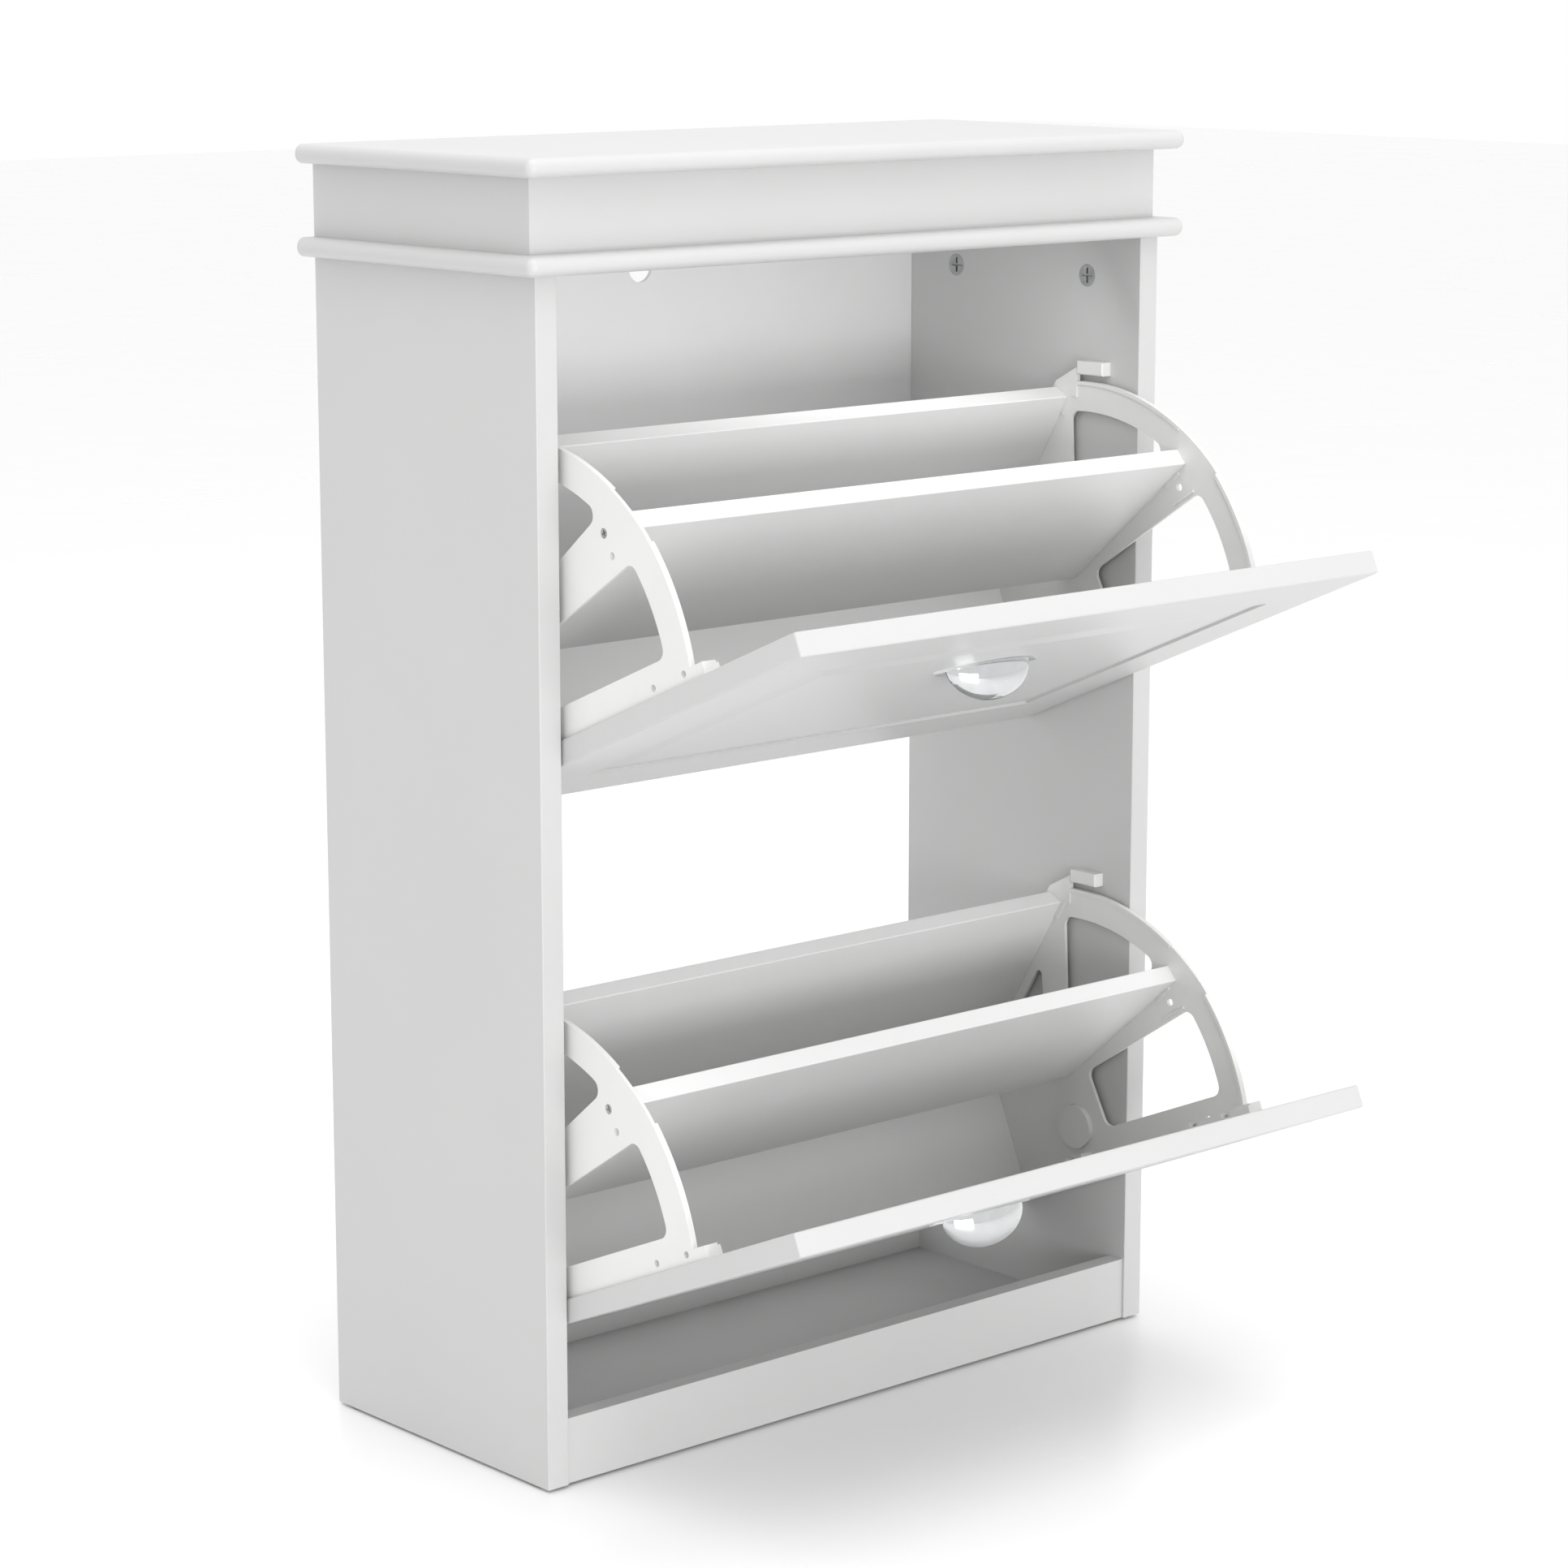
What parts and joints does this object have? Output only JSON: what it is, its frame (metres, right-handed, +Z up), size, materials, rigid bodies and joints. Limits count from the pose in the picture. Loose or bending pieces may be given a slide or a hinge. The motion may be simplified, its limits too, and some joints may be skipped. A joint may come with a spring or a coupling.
{
  "type": "shoe cabinet",
  "caption": "Slim free-standing white shoe cabinet with tilting flaps, each a hinged door with slanted shoe compartments, under a flat top on a recessed frieze.",
  "frame": {"origin": "on the floor, at mid-width, in the plane of the side panels' front edges", "axes": "+Z up, +X towards the right side seen from the front, +Y from the front towards the wall"},
  "size_m": [0.548, 0.4359, 0.814],
  "materials": {
    "white_laminate": "satin white laminate on fibreboard",
    "painted_hardboard": "matte white painted hardboard",
    "frame_plastic": "fine-grained off-white injection moulding",
    "glide_plastic": "matte grey",
    "chrome": "polished plating",
    "zinc_steel": "zinc plated",
    "dowel_wood": "plain beech"
  },
  "bodies": {
    "carcass": {"back_panel_nails": "zinc_steel", "bottom_panel": "painted_hardboard", "bottom_panel_nails": "zinc_steel", "cam_bolts": "zinc_steel", "cam_locks": "zinc_steel", "floor_glides": "glide_plastic", "frieze_dowels": "dowel_wood", "frieze_front": "white_laminate", "frieze_left": "white_laminate", "frieze_rear": "white_laminate", "frieze_right": "white_laminate", "lower_socket_left": "frame_plastic", "lower_socket_right": "frame_plastic", "lower_stop_left": "frame_plastic", "lower_stop_right": "frame_plastic", "plinth": "white_laminate", "rail_dowels": "dowel_wood", "rear_rail": "white_laminate", "side_panel_left": "white_laminate", "side_panel_right": "white_laminate", "top_board": "white_laminate", "upper_back_panel": "painted_hardboard", "upper_socket_left": "frame_plastic", "upper_socket_right": "frame_plastic", "upper_stop_left": "frame_plastic", "upper_stop_right": "frame_plastic", "waist_board": "white_laminate"},
    "upper_flap": {"upper_board_screws": "zinc_steel", "upper_bottom_board": "white_laminate", "upper_divider": "white_laminate", "upper_door": "white_laminate", "upper_door_dowels": "dowel_wood", "upper_frame_left": "frame_plastic", "upper_frame_right": "frame_plastic", "upper_frame_screws": "zinc_steel", "upper_handle": "chrome", "upper_handle_screws": "zinc_steel", "upper_rear_board": "white_laminate"},
    "lower_flap": {"lower_board_screws": "zinc_steel", "lower_bottom_board": "white_laminate", "lower_divider": "white_laminate", "lower_door": "white_laminate", "lower_door_dowels": "dowel_wood", "lower_frame_left": "frame_plastic", "lower_frame_right": "frame_plastic", "lower_frame_screws": "zinc_steel", "lower_handle": "chrome", "lower_handle_screws": "zinc_steel", "lower_rear_board": "white_laminate"}
  },
  "joints": [
    {"name": "upper_flap_hinge", "type": "hinge", "parent": "carcass", "child": "upper_flap", "pos_m": [0, 0.041, 0.48], "axis": [-1, 0, 0], "range_deg": [0, 66.6]},
    {"name": "lower_flap_hinge", "type": "hinge", "parent": "carcass", "child": "lower_flap", "pos_m": [0, 0.041, 0.132], "axis": [-1, 0, 0], "range_deg": [0, 66.6]}
  ]
}
